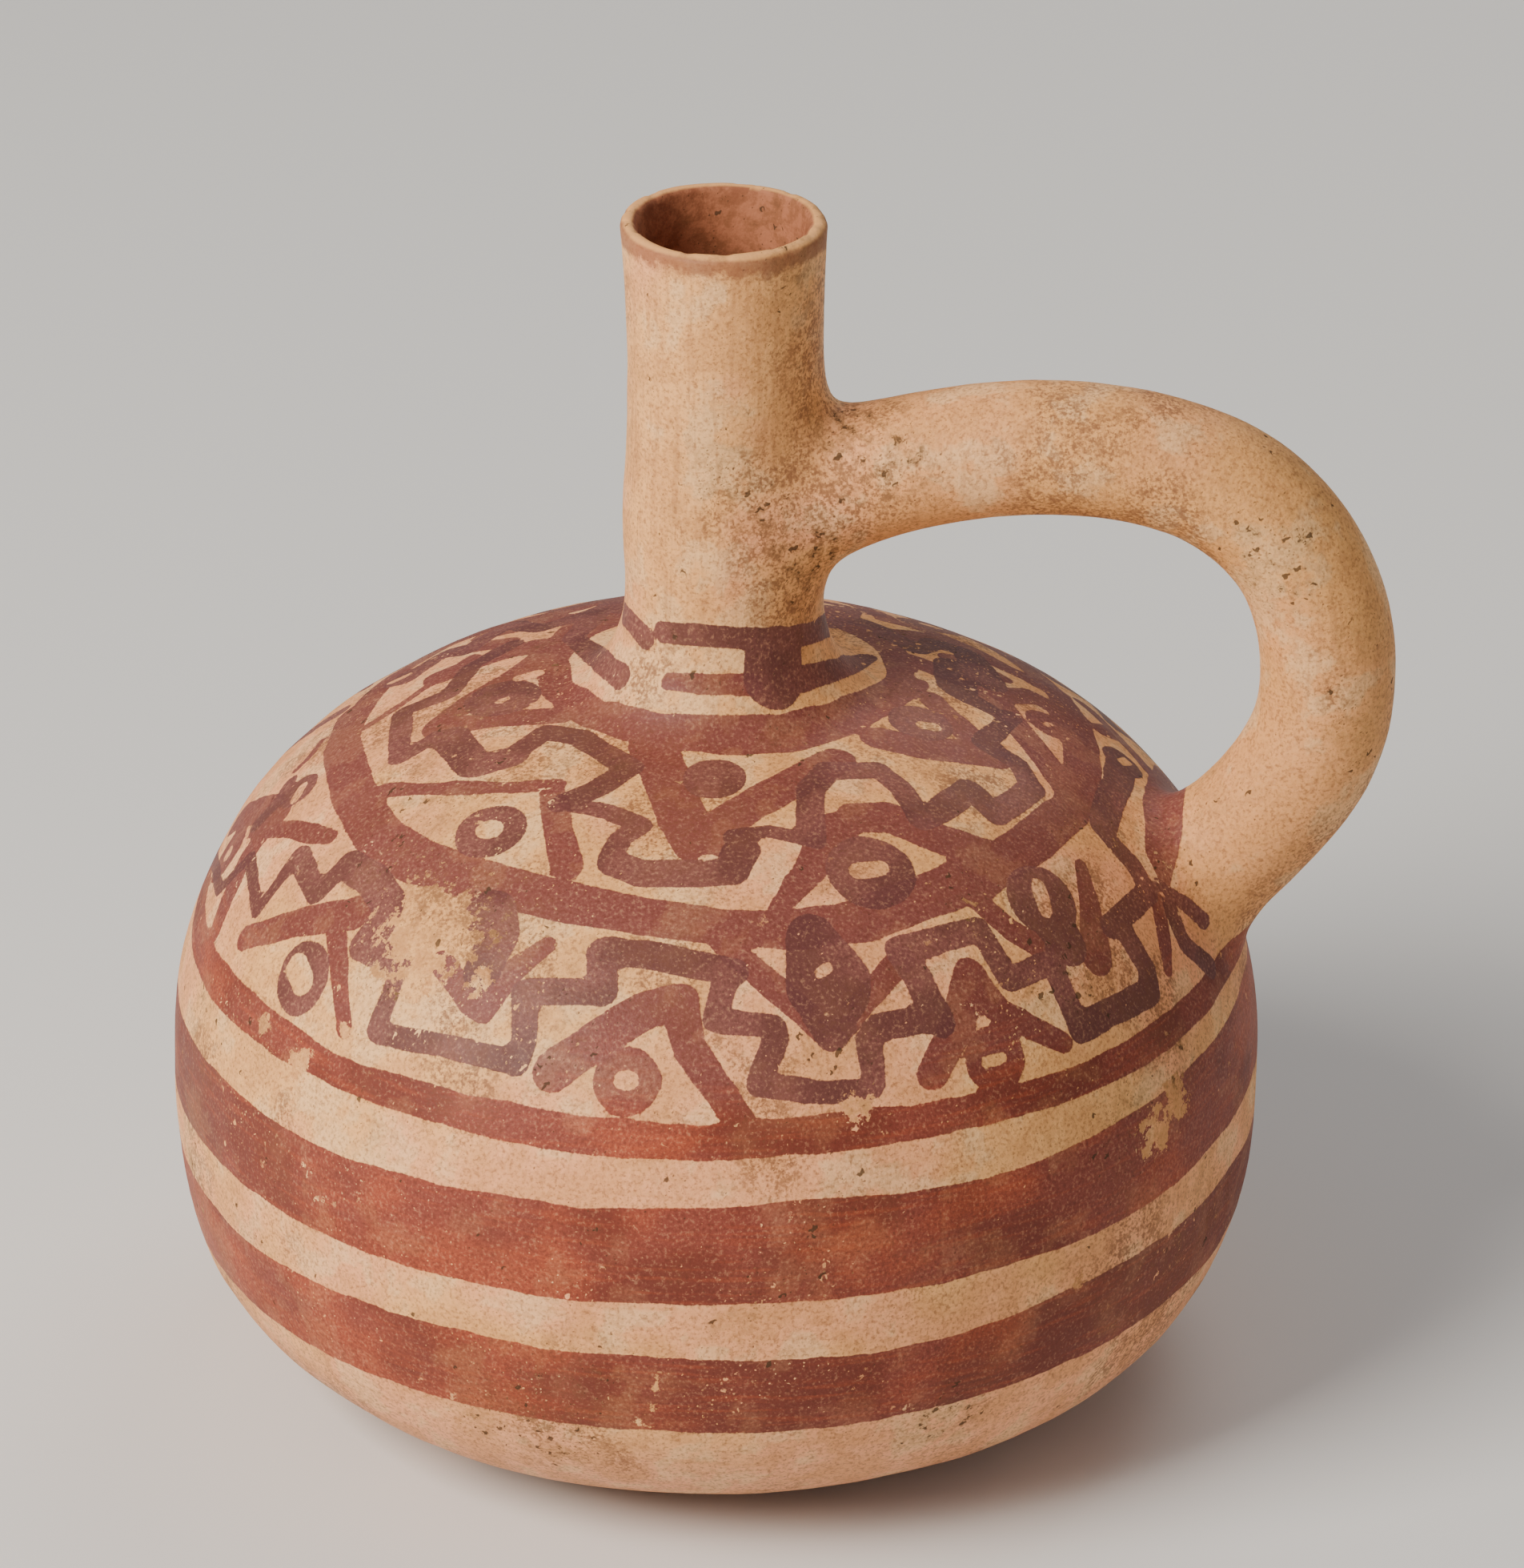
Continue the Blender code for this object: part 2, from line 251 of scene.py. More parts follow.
# Eyes: paint, radius in millimetres, and the middle
INNER_EYES = (
    (PURPLE, 5.5, (612, 1038)),
    (PURPLE, 4.7, (893, 972)),
    (PURPLE, 6.8, (1088, 1090)),
    (PURPLE, 5.0, (1150, 903)),
    (RED, 4.0, (1310, 905)),
    (PURPLE, 6.0, (627, 872)),
    (PURPLE, 3.6, (504, 846)),
)
OUTER_EYES = (
    (PURPLE, 3.8, (374, 988)),
    (PURPLE, 5.7, (378, 1222)),
    (RED, 4.9, (1243, 1322)),
    (PURPLE, 6.0, (1302, 1125)),
    CHEVRON_EYE,
)
# Bare slip left inside the eyes and between strokes: width in millimetres and points
INNER_PUPILS = (
    (3.2, ((608, 1036), (616, 1036))),
    (0.6, ((888, 974), (897, 974))),
    (3.0, ((1072, 1087), (1100, 1084))),
    (2.2, ((1154, 906), (1166, 908))),
    (1.0, ((1305, 905), (1312, 905))),
    (1.4, ((625, 877), (632, 873))),
    (2.0, ((648, 848), (672, 841))),
    (1.6, ((490, 852), (512, 842))),
    (1.8, ((668, 880), (674, 882))),
    (1.2, ((880, 1074), (893, 1072))),
)
OUTER_PUPILS = (
    (1.8, ((369, 998), (377, 984))),
    (4.6, ((371, 1208), (378, 1226))),
    (2.0, ((1233, 1327), (1251, 1322))),
    (2.4, ((1297, 1105), (1306, 1138))),
    (1.6, ((1023, 1216), (1034, 1208))),
    (0.8, ((1031, 1266), (1037, 1264))),
    CHEVRON_PUPIL,
)
# Painted rings on the shoulder: radius, width and middle in millimetres, seen from above. The last one only
# bounds the outer frieze
INNER_RING = (27.4, 5.4, (1.2, 6.0))
OUTER_RING = (57.4, 6.6, (-0.2, -1.8))
FRIEZE_EDGE = (82.0, 0.0, (0.0, 0.0))
# Bands round the chamber: lower edge, upper edge, and how far each rises towards the handle, millimetres
BANDS = (
    (73.0, 78.1, 0.0, -0.4),
    (50.2, 65.6, 1.3, 2.3),
    (27.6, 41.3, 1.2, 1.5),
)
# Wear, and soil that in places is painted shade: the middle in pixels and a radius in millimetres
RUBBED = (
    (9.0, (535, 1165)),
    (4.0, (572, 1172)),
    (2.5, (375, 1328)),
    (1.6, (330, 1280)),
    (4.0, (1445, 1412)),
    (3.5, (1468, 1372)),
    (2.0, (598, 1232)),
    (1.8, (432, 1285)),
    (2.5, (1070, 1384)),
    (1.6, (1350, 1600)),
)
SOILED_AND_SHADED = (
    (2.0, (732, 1535)),
    (1.4, (762, 1578)),
    (1.6, (845, 1592)),
    (5.0, (700, 1812)),
    (3.5, (600, 1778)),
    (4.0, (1350, 1235)),
    (2.5, (1290, 1250)),
    (4.0, (1475, 1330)),
    # The next four are partly dirt and partly painted shade: they darken the spout's right side and the
    # crease where the handle meets it
    (3.0, (960, 635)),
    (6.0, (1015, 690)),
    (5.0, (1062, 540)),
    (5.0, (1120, 580)),
    (6.0, (1180, 1770)),
    (7.0, (1600, 700)),
)
# Millimetres that brush and clay add to a stroke's width, and the sway of every painted edge
BRUSH_SPREAD = 0.8
EYE_SPREAD = 0.3
EDGE_SWAY = 0.55
EDGE_SWAY_SIZE = 6 * MM
EDGE_SEEDS = {RED: 3, PURPLE: 6}
PIXELS_A_STEP = 5.0
SAMPLE_STEP = 0.8 * MM
JOINED_WITHIN = 12 * MM
FAR_SIDE_FROM = 8.0 * MM
PAINT_FLOOR = 74 * MM
PAINT_ROOF = 132 * MM
# Clouds of colour and wear kept on the mesh: size, seed, share of the surface left clear, share where full,
# and how much taller than wide
CLOUDS = (
    ("tint", 30 * MM, 11, 0.25, 0.75, 1.0),
    ("mottle", 7 * MM, 12, 0.0, 1.0, 1.0),
    ("wear", 22 * MM, 13, 0.45, 1.0, 1.0),
    ("scuff", 15 * MM, 14, 0.70, 0.95, 1.0),
    ("red_tint", 13 * MM, 15, 0.2, 0.8, 1.0),
    ("thin", 26 * MM, 16, 0.55, 0.92, 0.5),
    ("plum", 18 * MM, 17, 0.55, 0.90, 1.0),
    ("purple_tint", 8 * MM, 18, 0.1, 0.9, 1.0),
    ("cover", 6 * MM, 19, 0.0, 1.0, 1.0),
    ("smudge", 18 * MM, 20, 0.60, 0.95, 1.6),
)


def srgb(red, green, blue):
    """A colour as seen on a screen, 0 to 255, as the shader's linear values."""
    made = []
    for level in (red / 255, green / 255, blue / 255):
        made.append(level / 12.92 if level <= 0.04045 else ((level + 0.055) / 1.055) ** 2.4)
    return (*made, 1.0)


# Colours of slip, paint, bare clay and soil. The soil colours also paint shade on the spout's right side
SLIP_YELLOW = srgb(248, 182, 114)
SLIP_PINK = srgb(252, 174, 122)
SLIP_LOW = srgb(252, 178, 134)
SLIP_OCHRE = srgb(210, 144, 84)
HANDLE_TAN = srgb(232, 166, 96)
SLIP_PALE = srgb(254, 208, 152)
SLIP_SHADE = srgb(176, 118, 74)
RED_DEEP = srgb(120, 56, 44)
RED_WARM = srgb(140, 69, 56)
RED_ORANGE = srgb(196, 92, 54)
RED_ROSE = srgb(130, 74, 67)
RED_PLUM = srgb(116, 60, 50)
PURPLE_DEEP = srgb(100, 56, 54)
PURPLE_PALE = srgb(126, 74, 69)
WORN_CLAY = srgb(216, 152, 96)
RIM_BROWN = srgb(146, 88, 60)
INSIDE_CLAY = srgb(176, 112, 80)
INSIDE_DARK = srgb(148, 88, 62)
SMUDGE = srgb(140, 92, 62)
GRAIN_DARK = srgb(84, 46, 32)
GRAIN_LIGHT = srgb(250, 190, 140)
SOIL_AND_SHADE_TINT = srgb(150, 116, 70)
SOIL_AND_SHADE = srgb(72, 52, 34)


def superellipse(radius, height, round_out, round_up, count):
    """Quarter outline from its side, share 0, to its pole, share 1, as (out, up) rows."""
    angle = np.linspace(0, pi / 2, count)
    out = radius * np.cos(angle).clip(0) ** (2 / round_out)
    up = height * np.sin(angle).clip(0) ** (2 / round_up)
    return np.column_stack((out, up))


def dome_height(radius_at):
    out_share = (radius_at / BODY_RADIUS) ** DOME_ROUND_OUT
    return WIDEST_HEIGHT + DOME_RISE * (1 - out_share) ** (1 / DOME_ROUND_UP)


def resampled(points, step):
    """The same outline with points about one step apart."""
    run = np.concatenate(([0.0], np.cumsum(np.linalg.norm(np.diff(points, axis=0), axis=1))))
    count = max(int(round(run[-1] / step)), 2)
    at = np.linspace(0, run[-1], count + 1)
    return np.column_stack([np.interp(at, run, points[:, k]) for k in range(points.shape[1])])


def outer_profile():
    """The outside as (radius, height) rows: base, bowl, dome, collar, spout, lip and the bore's top."""
    flat_share = 1 - (WIDEST_HEIGHT / BOWL_DROP) ** BOWL_ROUND_DOWN
    base_radius = BODY_RADIUS * flat_share ** (1 / BOWL_ROUND_OUT)
    base = np.column_stack((np.linspace(0, base_radius, 7)[:-1], np.zeros(6)))
    bowl = superellipse(BODY_RADIUS, BOWL_DROP, BOWL_ROUND_OUT, BOWL_ROUND_DOWN, 200)
    bowl = np.column_stack((bowl[:, 0], WIDEST_HEIGHT - bowl[:, 1]))[::-1]
    bowl = np.vstack(([base_radius, 0.0], bowl[bowl[:, 1] > 0]))
    dome = superellipse(BODY_RADIUS, DOME_RISE, DOME_ROUND_OUT, DOME_ROUND_UP, 200)
    dome = np.column_stack((dome[:, 0], WIDEST_HEIGHT + dome[:, 1]))
    collar_edge = SPOUT_RADIUS + COLLAR_WIDTH
    dome = dome[dome[:, 0] > collar_edge]
    turn = np.linspace(0, pi / 2, 40)
    collar = np.column_stack((
        SPOUT_RADIUS + COLLAR_WIDTH * (1 - np.sin(turn)),
        dome_height(collar_edge) + COLLAR_RISE * (1 - np.cos(turn)),
    ))
    whole = np.vstack((bowl, dome[1:], collar))
    upper = whole[whole[:, 1] >= PAINT_FLOOR]
    lower = np.vstack((whole[whole[:, 1] < PAINT_FLOOR], upper[:1]))
    chamber = np.vstack((resampled(lower, BAND_STEP), resampled(upper, FRIEZE_STEP)[1:]))
    lip_radius = (RIM_RADIUS - MOUTH_RADIUS) / 2
    lip_height = SPOUT_TOP - lip_radius
    flare = np.linspace(0, 1, 20)
    wall = np.vstack((
        chamber[-1],
        np.column_stack((SPOUT_RADIUS + (RIM_RADIUS - SPOUT_RADIUS) * flare ** 2,
                         RIM_FLARE_START + (lip_height - RIM_FLARE_START) * flare)),
    ))
    wall = resampled(wall, SPOUT_STEP)[1:]
    turn = np.linspace(0, pi, 30)
    lip_out = MOUTH_RADIUS + lip_radius * (1 + np.cos(turn))
    lip = resampled(np.column_stack((lip_out, lip_height + lip_radius * np.sin(turn))), LIP_STEP)[1:]
    bore = np.array(((MOUTH_RADIUS, lip_height), (BORE_RADIUS, RIM_FLARE_START), (BORE_RADIUS, BORE_FLOOR)))
    bore = resampled(bore, 2 * SPOUT_STEP)[1:]
    return np.vstack((base, chamber, wall, lip, bore))


def cavity_profile():
    """The chamber and the neck, which is a hair narrower than the spout's bore and runs up into it."""
    inner_radius = BODY_RADIUS - BODY_WALL
    roof = DOME_RISE - BODY_WALL
    neck_radius = BORE_RADIUS - NECK_GAP
    depth = WIDEST_HEIGHT - BASE_WALL
    lower = superellipse(inner_radius, depth, BOWL_ROUND_OUT, BOWL_ROUND_DOWN, CAVITY_STEPS)
    lower = np.column_stack((lower[:, 0], WIDEST_HEIGHT - lower[:, 1]))[::-1]
    upper = superellipse(inner_radius, roof, DOME_ROUND_OUT, DOME_ROUND_UP, CAVITY_STEPS)
    upper = np.column_stack((upper[:, 0], WIDEST_HEIGHT + upper[:, 1]))
    upper = upper[upper[:, 0] > neck_radius + 3 * MM]
    neck_foot = WIDEST_HEIGHT + roof + 3 * MM
    neck_top = BORE_FLOOR + PAST_TUBE_END
    neck = np.array(((neck_radius, neck_foot), (neck_radius, neck_top), (0.0, neck_top)))
    return np.vstack((lower, upper[1:], neck))


def axis_offset(height):
    """The spout stands a little off the chamber's axis, and the shoulder leads up to it."""
    start = WIDEST_HEIGHT + 0.8 * DOME_RISE
    full = WIDEST_HEIGHT + DOME_RISE + COLLAR_RISE
    return SPOUT_OFFSET * np.clip((height - start) / (full - start), 0, 1)


def bezier(a, b, c, d, share):
    back = 1 - share
    return back ** 3 * a + 3 * back ** 2 * share * b + 3 * back * share ** 2 * c + share ** 3 * d


def handle_line(steps):
    """Points of the handle's centre line, as (x, z) rows."""
    start = np.array((SPOUT_OFFSET, START_HEIGHT))
    start_pull = start + (START_SLOPE_REACH, START_SLOPE_RISE)
    peak = np.array((PEAK_REACH, PEAK_HEIGHT))
    outer = np.array((OUTER_REACH, OUTER_HEIGHT))
    foot = np.array((FOOT_REACH, FOOT_HEIGHT))
    curves = (
        (start, start_pull, peak - (PEAK_PULL, 0), peak),
        (peak, peak + (ARCH_ROUNDNESS * (OUTER_REACH - PEAK_REACH), 0),
         outer + (0, ARCH_ROUNDNESS * (PEAK_HEIGHT - OUTER_HEIGHT)), outer),
        (outer, outer - (0, OUTER_PULL), foot + (FOOT_PULL_REACH, FOOT_PULL_RISE), foot),
    )
    points = [start]
    for curve in curves:
        for step in range(1, steps + 1):
            points.append(bezier(*curve, step / steps))
    return np.array(points)


def closed_mesh(name, rings):
    """An object lofted through rings of points. A ring of one point is a pole."""
    mesh_data = bmesh.new()
    made = [[mesh_data.verts.new(point) for point in ring] for ring in rings]
    for low, high in zip(made, made[1:]):
        count = max(len(low), len(high))
        for i in range(count):
            j = (i + 1) % count
            if len(low) == 1:
                mesh_data.faces.new((low[0], high[j], high[i]))
            elif len(high) == 1:
                mesh_data.faces.new((low[i], low[j], high[0]))
            else:
                mesh_data.faces.new((low[i], low[j], high[j], high[i]))
    bmesh.ops.recalc_face_normals(mesh_data, faces=mesh_data.faces)
    mesh = bpy.data.meshes.new(name)
    mesh_data.to_mesh(mesh)
    mesh_data.free()
    obj = bpy.data.objects.new(name, mesh)
    bpy.context.scene.collection.objects.link(obj)
    return obj


def revolved(name, profile, segments):
    turn = np.arange(segments) * 2 * pi / segments
    rings = []
    for radius, height in profile:
        centre = float(axis_offset(height))
        if radius < 1e-7:
            rings.append([(centre, 0.0, height)])
        else:
            rings.append([(centre + radius * cos(t), radius * sin(t), height) for t in turn])
    if len(rings[-1]) > 1:
        rings.append([(float(axis_offset(profile[-1][1])), 0.0, profile[-1][1])])
    return closed_mesh(name, rings)


def swept(name, line, radius, sides):
    turn = np.arange(sides) * 2 * pi / sides
    rings = [[(line[0][0], 0.0, line[0][1])]]
    for i, (x, z) in enumerate(line):
        ahead = line[min(i + 1, len(line) - 1)] - line[max(i - 1, 0)]
        ahead = ahead / hypot(*ahead)
        rings.append([
            (x - ahead[1] * radius * sin(t), radius * cos(t), z + ahead[0] * radius * sin(t)) for t in turn
        ])
    rings.append([(line[-1][0], 0.0, line[-1][1])])
    return closed_mesh(name, rings)


def combine(target, tool, operation):
    """Boolean of two closed meshes, applied to the target. The tool is removed."""
    modifier = target.modifiers.new(operation, "BOOLEAN")
    modifier.operation = operation
    modifier.solver = "MANIFOLD"
    modifier.object = tool
    graph = bpy.context.evaluated_depsgraph_get()
    result = bpy.data.meshes.new_from_object(target.evaluated_get(graph))
    target.modifiers.clear()
    target.data = result
    bpy.data.objects.remove(tool, do_unlink=True)


def points_of(mesh):
    points = np.empty(len(mesh.vertices) * 3)
    mesh.vertices.foreach_get("co", points)
    return points.reshape(-1, 3)


def nearest(points, samples, chunk=4000):
    """Index of the sample nearest to each point."""
    found = np.empty(len(points), int)
    for at in range(0, len(points), chunk):
        part = points[at:at + chunk]
        gaps = ((part[:, None, :] - samples[None, :, :]) ** 2).sum(axis=2)
        found[at:at + chunk] = gaps.argmin(axis=1)
    return found


OUTLINE = resampled(outer_profile(), 0.4 * MM)
ALONG = np.gradient(OUTLINE, axis=0)
OUTLINE_NORMALS = np.column_stack((ALONG[:, 1], -ALONG[:, 0])) / np.linalg.norm(ALONG, axis=1)[:, None]
HANDLE = resampled(handle_line(60), 0.4 * MM)


def body_distance(points):
    """Signed distance to chamber and spout, and the way out."""
    offset = axis_offset(points[:, 2])
    out = np.column_stack((points[:, 0] - offset, points[:, 1]))
    radius = np.linalg.norm(out, axis=1).clip(1e-9)
    flat = np.column_stack((radius, points[:, 2]))
    index = nearest(flat, OUTLINE)
    normal = OUTLINE_NORMALS[index]
    distance = ((flat - OUTLINE[index]) * normal).sum(axis=1)
    way = np.column_stack((out / radius[:, None] * normal[:, :1], normal[:, 1]))
    return distance, way


def handle_distance(points):
    """Signed distance to the handle's tube, and the way out."""
    index = nearest(points[:, [0, 2]], HANDLE)
    away = points - np.column_stack((HANDLE[index, 0], np.zeros(len(points)), HANDLE[index, 1]))
    length = np.linalg.norm(away, axis=1).clip(1e-9)
    return length - HANDLE_RADIUS, away / length[:, None]


def settle_on_blend(points, rounds):
    """Moves points onto the smooth union of body and handle, as where a potter's thumb fills a joint."""
    for _ in range(rounds):
        to_body, body_way = body_distance(points)
        to_handle, handle_way = handle_distance(points)
        low = np.minimum(to_body, to_handle)
        body_share = np.exp((low - to_body) / BLEND)
        handle_share = np.exp((low - to_handle) / BLEND)
        total = body_share + handle_share
        distance = low - BLEND * np.log(total)
        slope = (body_share[:, None] * body_way + handle_share[:, None] * handle_way) / total[:, None]
        steep = (slope ** 2).sum(axis=1).clip(0.2)
        points = points - slope * (distance / steep)[:, None]
    return points


def blend_joints(obj):
    """Rounds the seam where the handle meets spout and shoulder."""
    mesh_data = bmesh.new()
    mesh_data.from_mesh(obj.data)
    points = points_of(obj.data)
    to_body, _ = body_distance(points)
    to_handle, _ = handle_distance(points)
    zone = (np.abs(to_body) < BLEND_ZONE) & (np.abs(to_handle) < BLEND_ZONE)
    mesh_data.verts.ensure_lookup_table()
    picked = [mesh_data.verts[i] for i in np.flatnonzero(zone)]
    bmesh.ops.remove_doubles(mesh_data, verts=picked, dist=0.35 * MM)
    mesh_data.to_mesh(obj.data)
    mesh_data.free()
    points = points_of(obj.data)
    to_body, _ = body_distance(points)
    to_handle, _ = handle_distance(points)
    zone = np.flatnonzero((np.abs(to_body) < BLEND_ZONE) & (np.abs(to_handle) < BLEND_ZONE))
    edges = np.empty(len(obj.data.edges) * 2, int)
    obj.data.edges.foreach_get("vertices", edges)
    edges = edges.reshape(-1, 2)
    near_seam = np.exp(-(np.maximum(np.abs(to_body), np.abs(to_handle)) / (4 * MM)) ** 2)
    points[zone] = settle_on_blend(points[zone], 3)
    for _ in range(6):
        total = np.zeros_like(points)
        count = np.zeros(len(points))
        for a, b in ((0, 1), (1, 0)):
            np.add.at(total, edges[:, a], points[edges[:, b]])
            np.add.at(count, edges[:, a], 1)
        mean = total / count.clip(1)[:, None]
        pull = 0.5 * near_seam[zone, None]
        points[zone] += pull * (mean[zone] - points[zone])
        points[zone] = settle_on_blend(points[zone], 2)
    obj.data.vertices.foreach_set("co", points.ravel())
    obj.data.update()


def smooth_noise(points, size, seed, octaves=4, upright=1.0):
    """Cloudy values with features of a size in metres, from random values on a lattice."""
    lattice = np.random.default_rng(seed).random((32, 32, 32))
    total = np.zeros(len(points))
    strength = 1.0
    for octave in range(octaves):
        place = points / size * 2.0 ** octave + 7.3 * octave + 40.0
        place[:, 2] /= upright
        corner = np.floor(place).astype(int)
        share = place - corner
        share = share * share * (3 - 2 * share)
        for step in range(8):
            ahead = np.array((step & 1, step >> 1 & 1, step >> 2 & 1))
            weight = np.where(ahead, share, 1 - share).prod(axis=1)
            at = (corner + ahead) % 32
            total += strength * weight * lattice[at[:, 0], at[:, 1], at[:, 2]]
        strength *= 0.55
    return total


def shape_by_hand(obj):
    """Uneven clay: broad flats where it was paddled and scraped, small dents, and a worn rim."""
    points = points_of(obj.data)
    normals = np.empty(len(points) * 3)
    obj.data.vertices.foreach_get("normal", normals)
    broad = smooth_noise(points, BROAD_FLAT_SIZE, 1, octaves=2) / 1.55
    small = smooth_noise(points, SMALL_DENT_SIZE, 2, octaves=3) / 1.85
    push = BROAD_FLATS * (broad.clip(0.2, 0.7) - 0.7) / 0.5 + SMALL_DENTS * (2 * small - 1)
    to_rim = points[:, 2] - (SPOUT_TOP - 1.6 * MM)
    nicks = smooth_noise(points, RIM_WEAR_SIZE, 3, octaves=2) / 1.55
    push -= RIM_WEAR * (nicks - 0.55).clip(0, 1) / 0.45 * (to_rim / MM).clip(0, 1)
    in_mouth = (np.hypot(points[:, 0] - SPOUT_OFFSET, points[:, 1]) < MOUTH_RADIUS + 0.3 * MM)
    in_mouth &= points[:, 2] < SPOUT_TOP - 2 * MM
    in_mouth &= points[:, 2] > BORE_FLOOR - 12 * MM
    push[in_mouth] = 0.0
    push *= ((points[:, 2] - 1 * MM) / (4 * MM)).clip(0, 1)
    points += normals.reshape(-1, 3) * push[:, None]
    obj.data.vertices.foreach_set("co", points.ravel())
    obj.data.update()


def make_vessel():
    vessel = revolved("vessel_skin", outer_profile(), RING_SEGMENTS)
    tube = swept("tube", resampled(handle_line(60), 1.5 * MM), HANDLE_RADIUS, TUBE_SIDES)
    combine(vessel, tube, "UNION")
    blend_joints(vessel)
    shape_by_hand(vessel)
    combine(vessel, revolved("cavity", cavity_profile(), CAVITY_SEGMENTS), "DIFFERENCE")
    combine(vessel, swept("bore", handle_line(BORE_STEPS), HANDLE_BORE_RADIUS, BORE_SIDES), "DIFFERENCE")
    return vessel


def camera_place():
    """Where the photograph's camera stands, and the directions to its right and back from its subject."""
    azimuth, elevation = radians(VIEW_AZIMUTH), radians(VIEW_ELEVATION)
    right = Vector((cos(azimuth), sin(azimuth), 0.0))
    back = Vector((sin(azimuth) * cos(elevation), -cos(azimuth) * cos(elevation), sin(elevation)))
    target = Vector((TARGET_REACH * cos(azimuth), TARGET_REACH * sin(azimuth), TARGET_HEIGHT))
    return target + back * VIEW_DISTANCE, right, back


def laid_on(tree, pixel):
    """The point of the clay that a pixel of the photograph shows, or None."""
    place, right, back = camera_place()
    up = back.cross(right)
    across = (pixel[0] - PHOTO_WIDTH / 2) / VIEW_PIXELS
    rise = (PHOTO_HEIGHT / 2 - pixel[1]) / VIEW_PIXELS
    return tree.ray_cast(place, (right * across + up * rise - back).normalized())[0]


def stroke_samples(tree, pixels, start_width, end_width, spread=0.0):
    """Points on the clay along a brush stroke, with half its width there, in metres."""
    pixels = np.array(pixels, float)
    run = np.concatenate(([0.0], np.cumsum(np.linalg.norm(np.diff(pixels, axis=0), axis=1))))
    count = max(int(run[-1] / PIXELS_A_STEP), 1)
    samples = []
    for k in range(count + 1):
        at = run[-1] * k / count
        pixel = (np.interp(at, run, pixels[:, 0]), np.interp(at, run, pixels[:, 1]))
        hit = laid_on(tree, pixel)
        if hit is not None:
            half = 0.5 * MM * (spread + start_width + (end_width - start_width) * k / count)
            samples.append((hit.x, hit.y, hit.z, half))
    return without_gaps(samples)


def without_gaps(samples):
    """The same stroke with points put in where the clay turns away and its samples lie far apart."""
    made = samples[:1]
    for last, row in zip(samples, samples[1:]):
        gap = dist(last[:3], row[:3])
        count = max(ceil(gap / SAMPLE_STEP), 1) if gap < JOINED_WITHIN else 1
        for k in range(1, count + 1):
            made.append(tuple(a + (b - a) * k / count for a, b in zip(last, row)))
    return made


def ring_reach(ring, bearing):
    """Distance from the chamber's axis to a painted ring, in metres."""
    radius, _, middle = ring
    along = middle[0] * cos(bearing) + middle[1] * sin(bearing)
    return MM * (along + (radius ** 2 - middle[0] ** 2 - middle[1] ** 2 + along ** 2) ** 0.5)


def turned(samples, angle, near_ring, far_ring):
    """Strokes turned about the chamber's axis, each at the same share of the way between two rings."""
    made = []
    for x, y, _, half in samples:
        bearing = atan2(y, x)
        near, far = ring_reach(near_ring, bearing), ring_reach(far_ring, bearing)
        share = (hypot(x, y) - near) / (far - near)
        bearing += angle
        near, far = ring_reach(near_ring, bearing), ring_reach(far_ring, bearing)
        reach = min(near + share * (far - near), BODY_RADIUS)
        made.append((reach * cos(bearing), reach * sin(bearing), dome_height(reach), half))
    return made


def cover(points, samples, chunk=3000):
    """How deep each point lies inside the strokes, in metres. Outside it is less than zero."""
    found = np.full(len(points), -1.0)
    for at in range(0, len(points), chunk):
        part = points[at:at + chunk]
        gaps = np.sqrt(((part[:, None, :] - samples[None, :, :3]) ** 2).sum(axis=2))
        found[at:at + chunk] = (samples[None, :, 3] - gaps).max(axis=1)
    return found


def copied_behind(samples, near_ring, far_ring):
    """The same stroke turned to the far side, or nothing where part of it would come round in front."""
    behind = turned(samples, pi, near_ring, far_ring)
    return behind if all(row[1] > FAR_SIDE_FROM for row in behind) else []


def ring_back(ring):
    """The far part of a painted ring, lying on the dome."""
    radius, width, middle = ring
    samples = []
    for bearing in range(-4, 185):
        x = middle[0] * MM + radius * MM * cos(radians(bearing))
        y = middle[1] * MM + radius * MM * sin(radians(bearing))
        samples.append((x, y, dome_height(hypot(x, y)), width * MM / 2))
    return samples


def band_cover(points):
    """Depth inside the bands that run round the chamber."""
    bearing = np.arctan2(points[:, 1], points[:, 0])
    towards = np.cos(bearing)
    found = np.full(len(points), -1.0)
    for order, (low_edge, high_edge, low_rise, high_rise) in enumerate(BANDS):
        sway = 0.45 * np.sin(3 * bearing + 1.3 * order) + 0.3 * np.sin(5 * bearing + 2.1 * order)
        swell = 0.35 * np.sin(4 * bearing + 0.7 + order) + 0.25 * np.sin(9 * bearing + order)
        bottom = (low_edge + low_rise * towards + sway) * MM
        top = (high_edge + high_rise * towards + sway + swell) * MM
        found = np.maximum(found, np.minimum(points[:, 2] - bottom, top - points[:, 2]))
    return found


def clouds(points, size, seed, low, high, upright=1.0):
    """Cloud cover from 0 to 1: none on the lowest share of the surface, full above the higher share."""
    values = smooth_noise(points, size, seed, upright=upright)
    rank = values.argsort().argsort() / len(values)
    share = ((rank - low) / (high - low)).clip(0, 1)
    return share * share * (3 - 2 * share)


def store(mesh, name, values):
    attribute = mesh.attributes.new(name, "FLOAT", "POINT")
    attribute.data.foreach_set("value", np.asarray(values, np.float32))


def drawn(tree, strokes, eyes=(), pupils=()):
    """Samples of strokes, eyes and bare pupils, as pairs of a colour and one stroke's samples."""
    made = []
    for colour, start_width, end_width, pixels in strokes:
        made.append((colour, stroke_samples(tree, pixels, start_width, end_width, BRUSH_SPREAD)))
    for colour, radius, middle in eyes:
        made.append((colour, stroke_samples(tree, (middle,), 2 * radius, 2 * radius, EYE_SPREAD)))
    for width, pixels in pupils:
        made.append((BARE, stroke_samples(tree, pixels, width, width)))
    return made


